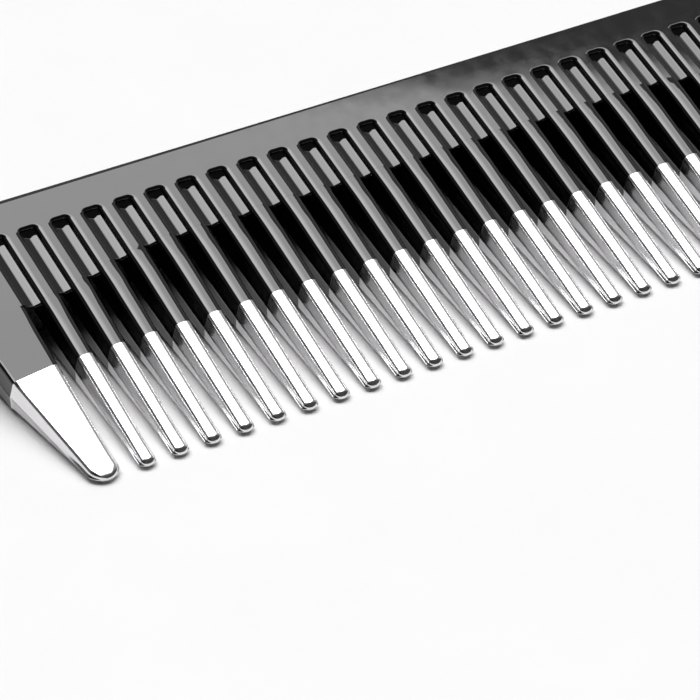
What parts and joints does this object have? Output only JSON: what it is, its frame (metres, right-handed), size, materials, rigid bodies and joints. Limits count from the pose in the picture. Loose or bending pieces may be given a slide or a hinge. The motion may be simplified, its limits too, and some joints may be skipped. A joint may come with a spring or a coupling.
{
  "type": "rat tail comb",
  "caption": "Rat tail comb for parting and sectioning hair: a toothed head with metal-coated tooth ends, and a long tapering tail with a metal-coated point.",
  "frame": {"origin": "middle of the whole comb's bounding box, on the plane where its two mould halves meet", "axes": "+X along the comb from the head's free end to the tail's tip, -Y the way the teeth point, +Z through the thickness, up when the comb lies flat"},
  "size_m": [0.218, 0.0268, 0.0062],
  "materials": {
    "black_plastic": "high gloss black moulded plastic",
    "metal_coat": "bright silver metallised coat over the plastic"
  },
  "bodies": {
    "root": {"head_spine": "black_plastic", "tooth_01": "black_plastic", "tooth_tip_01": "metal_coat", "tooth_02": "black_plastic", "tooth_tip_02": "metal_coat", "tooth_03": "black_plastic", "tooth_tip_03": "metal_coat", "tooth_04": "black_plastic", "tooth_tip_04": "metal_coat", "tooth_05": "black_plastic", "tooth_tip_05": "metal_coat", "tooth_06": "black_plastic", "tooth_tip_06": "metal_coat", "tooth_07": "black_plastic", "tooth_tip_07": "metal_coat", "tooth_08": "black_plastic", "tooth_tip_08": "metal_coat", "tooth_09": "black_plastic", "tooth_tip_09": "metal_coat", "tooth_10": "black_plastic", "tooth_tip_10": "metal_coat", "tooth_11": "black_plastic", "tooth_tip_11": "metal_coat", "tooth_12": "black_plastic", "tooth_tip_12": "metal_coat", "tooth_13": "black_plastic", "tooth_tip_13": "metal_coat", "tooth_14": "black_plastic", "tooth_tip_14": "metal_coat", "tooth_15": "black_plastic", "tooth_tip_15": "metal_coat", "tooth_16": "black_plastic", "tooth_tip_16": "metal_coat", "tooth_17": "black_plastic", "tooth_tip_17": "metal_coat", "tooth_18": "black_plastic", "tooth_tip_18": "metal_coat", "tooth_19": "black_plastic", "tooth_tip_19": "metal_coat", "tooth_20": "black_plastic", "tooth_tip_20": "metal_coat", "tooth_21": "black_plastic", "tooth_tip_21": "metal_coat", "tooth_22": "black_plastic", "tooth_tip_22": "metal_coat", "tooth_23": "black_plastic", "tooth_tip_23": "metal_coat", "tooth_24": "black_plastic", "tooth_tip_24": "metal_coat", "tooth_25": "black_plastic", "tooth_tip_25": "metal_coat", "guard_tooth_front": "black_plastic", "guard_tip_front": "metal_coat", "guard_tooth_rear": "black_plastic", "guard_tip_rear": "metal_coat", "tail_upper_half": "black_plastic", "tail_lower_half": "black_plastic", "tail_tip_upper": "metal_coat", "tail_tip_lower": "metal_coat"}
  },
  "joints": []
}
